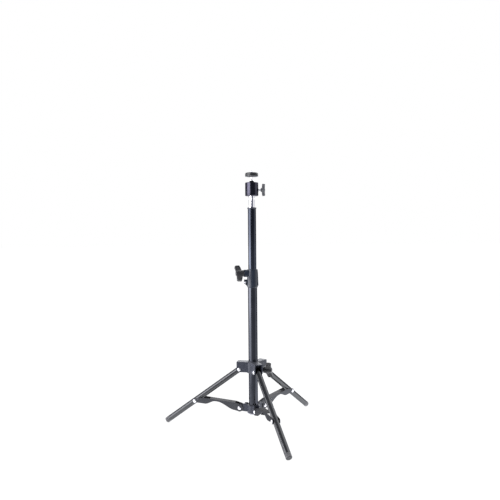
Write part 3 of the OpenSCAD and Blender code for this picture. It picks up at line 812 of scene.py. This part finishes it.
FRONT_GLOW, RIGHT_GLOW, LEFT_GLOW, BACK_SHEET, CEILING = 0.24, 1.1, 3.6, 2.8, 0.7
POOL_FRONT, POOL_BACK = 0.5, 3.4
ROOF_RIGHT = 3.0
print("front:", FRONT_GLOW, "right:", RIGHT_GLOW, "left:", LEFT_GLOW, "back sheet:", BACK_SHEET)

# %% Floor
bpy.ops.object.select_all(action="DESELECT")
bpy.ops.mesh.primitive_plane_add(size=60)
floor = bpy.context.object
floor.name = "studio_floor"
floor_with_painted_light = bpy.data.materials.new("studio_floor_with_painted_light")
floor_with_painted_light.use_nodes = True
tree = floor_with_painted_light.node_tree
paint_and_painted_light = tree.nodes["Principled BSDF"]
paint_and_painted_light.inputs["Base Color"].default_value = (0.35, 0.35, 0.35, 1)
paint_and_painted_light.inputs["Roughness"].default_value = 0.9
place = add(tree, "ShaderNodeTexCoord").outputs["Object"]
spot, outward, turn = (add(tree, "ShaderNodeSeparateXYZ"),
                       add(tree, "ShaderNodeVectorMath", operation="NORMALIZE"),
                       add(tree, "ShaderNodeSeparateXYZ"))
distance = add(tree, "ShaderNodeVectorMath", operation="LENGTH")
tree.links.new(place, spot.inputs[0])
tree.links.new(place, outward.inputs[0])
tree.links.new(place, distance.inputs[0])
tree.links.new(outward.outputs[0], turn.inputs[0])
x, y = turn.outputs["X"], turn.outputs["Y"]
# painted light: the left light's streak carried on across the floor, seen only by rays that bounce off the stand
at_left = math_node(tree, "MULTIPLY", remap(tree, x, -0.1, -0.3, 0.0, 1.0),
                    math_node(tree, "MULTIPLY", remap(tree, y, -0.78, -0.66, 0.0, 1.0),
                              remap(tree, y, 0.28, 0.45, 1.0, 0.0)))
far = math_node(tree, "ADD", band_levels(tree, x, y), math_node(tree, "MULTIPLY", at_left, LEFT_GLOW))
toward_back = math_node(tree, "ADD", spot.outputs["Y"], math_node(tree, "MULTIPLY", spot.outputs["X"], 0.15))
# painted pool of light round the stand, dim in front and bright behind, fading out by 0.85 m
near = remap(tree, toward_back, -0.35, 0.17, POOL_FRONT, POOL_BACK)
pool = remap(tree, distance.outputs["Value"], 0.45, 0.85, 1.0, 0.0)
level = math_node(tree, "ADD", math_node(tree, "MULTIPLY", near, pool),
                  math_node(tree, "MULTIPLY", far, math_node(tree, "SUBTRACT", 1.0, pool)))
# this glow is painted light, seen by every ray but the camera's
tree.links.new(level, paint_and_painted_light.inputs["Emission Strength"])
tree.links.new(tint(tree, level), paint_and_painted_light.inputs["Emission Color"])
glow = add(tree, "ShaderNodeEmission", {"Color": (1, 1, 1, 1), "Strength": 0.975})
lit = add(tree, "ShaderNodeBsdfDiffuse", {"Color": (0.05, 0.05, 0.05, 1)})
overexposed = add(tree, "ShaderNodeAddShader")
by_ray = add(tree, "ShaderNodeLightPath")
shown = add(tree, "ShaderNodeMixShader")
tree.links.new(glow.outputs[0], overexposed.inputs[0])
tree.links.new(lit.outputs[0], overexposed.inputs[1])
tree.links.new(by_ray.outputs["Is Camera Ray"], shown.inputs[0])
tree.links.new(paint_and_painted_light.outputs[0], shown.inputs[1])
tree.links.new(overexposed.outputs[0], shown.inputs[2])
tree.links.new(shown.outputs[0], tree.nodes["Material Output"].inputs["Surface"])
floor.data.materials.append(floor_with_painted_light)
floor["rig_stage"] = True
print("floor reaches", floor.dimensions.x / 2, "m")

# %% Room
world = bpy.data.worlds.new("studio_room")
world.use_nodes = True
bpy.context.scene.world = world
room = world.node_tree
seen = room.nodes["Background"]
seen.inputs["Color"].default_value = (1, 1, 1, 1)
seen.inputs["Strength"].default_value = 1.0
unseen = add(room, "ShaderNodeBackground")
way = add(room, "ShaderNodeTexCoord")
flat = add(room, "ShaderNodeVectorMath", {1: (1.0, 1.0, 0.0)}, operation="MULTIPLY")
level_way = add(room, "ShaderNodeVectorMath", operation="NORMALIZE")
turn, axes = add(room, "ShaderNodeSeparateXYZ"), add(room, "ShaderNodeSeparateXYZ")
room.links.new(way.outputs["Generated"], flat.inputs[0])
room.links.new(flat.outputs[0], level_way.inputs[0])
room.links.new(level_way.outputs[0], turn.inputs[0])
room.links.new(way.outputs["Generated"], axes.inputs[0])
under_roof = remap(room, axes.outputs["Z"], 0.60, 0.85, 1.0, 0.0)
bands = math_node(room, "MULTIPLY", band_levels(room, turn.outputs["X"], turn.outputs["Y"]), under_roof)
sheet = math_node(room, "MULTIPLY", remap(room, axes.outputs["Z"], 0.07, 0.18, 0.0, BACK_SHEET), under_roof)
sheet = math_node(room, "MULTIPLY", sheet, remap(room, axes.outputs["Y"], 0.15, 0.45, 0.0, 1.0))
above = math_node(room, "MULTIPLY", remap(room, axes.outputs["Z"], 0.60, 0.85, 0.0, 1.0),
                  remap(room, axes.outputs["X"], 0.22, 0.45, CEILING, ROOF_RIGHT))
level = math_node(room, "ADD", math_node(room, "ADD", bands, sheet), above)
room.links.new(level, unseen.inputs["Strength"])
room.links.new(tint(room, level), unseen.inputs["Color"])
ray = add(room, "ShaderNodeLightPath")
either = add(room, "ShaderNodeMixShader")
room.links.new(ray.outputs["Is Camera Ray"], either.inputs[0])
room.links.new(unseen.outputs[0], either.inputs[1])
room.links.new(seen.outputs[0], either.inputs[2])
room.links.new(either.outputs[0], room.nodes["World Output"].inputs["Surface"])
print("room", world.name)


# %% Soft lights
def soft_light(name, place, aim, width, height, power, colour=(1, 1, 1)):
    bpy.ops.object.select_all(action="DESELECT")
    bpy.ops.object.light_add(type="AREA", location=place)
    light = bpy.context.object
    light.name = name
    light.data.shape, light.data.size, light.data.size_y = "RECTANGLE", width, height
    light.data.energy, light.data.color = power, colour
    light.rotation_euler = (Vector(aim) - Vector(place)).to_track_quat("-Z", "Y").to_euler()
    return light


soft_light("key_low", (-1.865, -0.36, 0.37), (0, 0, 0.37), 2.45, 0.70, 32, (0.96, 0.95, 1.0))
soft_light("key_high", (-1.565, -1.08, 1.20), (0, 0, 0.90), 1.95, 0.92, 44, (0.96, 0.95, 1.0))
soft_light("overhead", (0.2, 1.6, 1.7), (0, 0, 0.3), 1.8, 1.0, 14)
bpy.context.scene.view_settings.view_transform = "Standard"

# %% [markdown]
# ## The camera
# The picture was taken from a little above the middle of the stand, about a metre and a half away, almost
# level. The lens and place were worked out from the known sizes of the tubes and where the feet stand.

# %% Camera
bpy.ops.object.select_all(action="DESELECT")
bpy.ops.object.camera_add()
camera = bpy.context.object
camera.name = "picture_camera"
camera.data.lens, camera.data.sensor_width = 40.52, 36.0
camera.matrix_world = (Matrix.Translation((-0.0060, -1.5186, 0.5168))
                       @ Matrix.Rotation(math.pi / 2 - 0.0233, 4, "X") @ Matrix.Rotation(-0.0085, 4, "Z"))
bpy.context.scene.camera = camera
print("camera at", [round(v, 3) for v in camera.location])

# %% [markdown]
# ## Size of the dressed model
# The box round every shown piece of the stand, the floor left out, is measured and printed.

# %% Measure the size of the dressed model
low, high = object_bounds()
print("visual size:", [round(v, 4) for v in high - low])
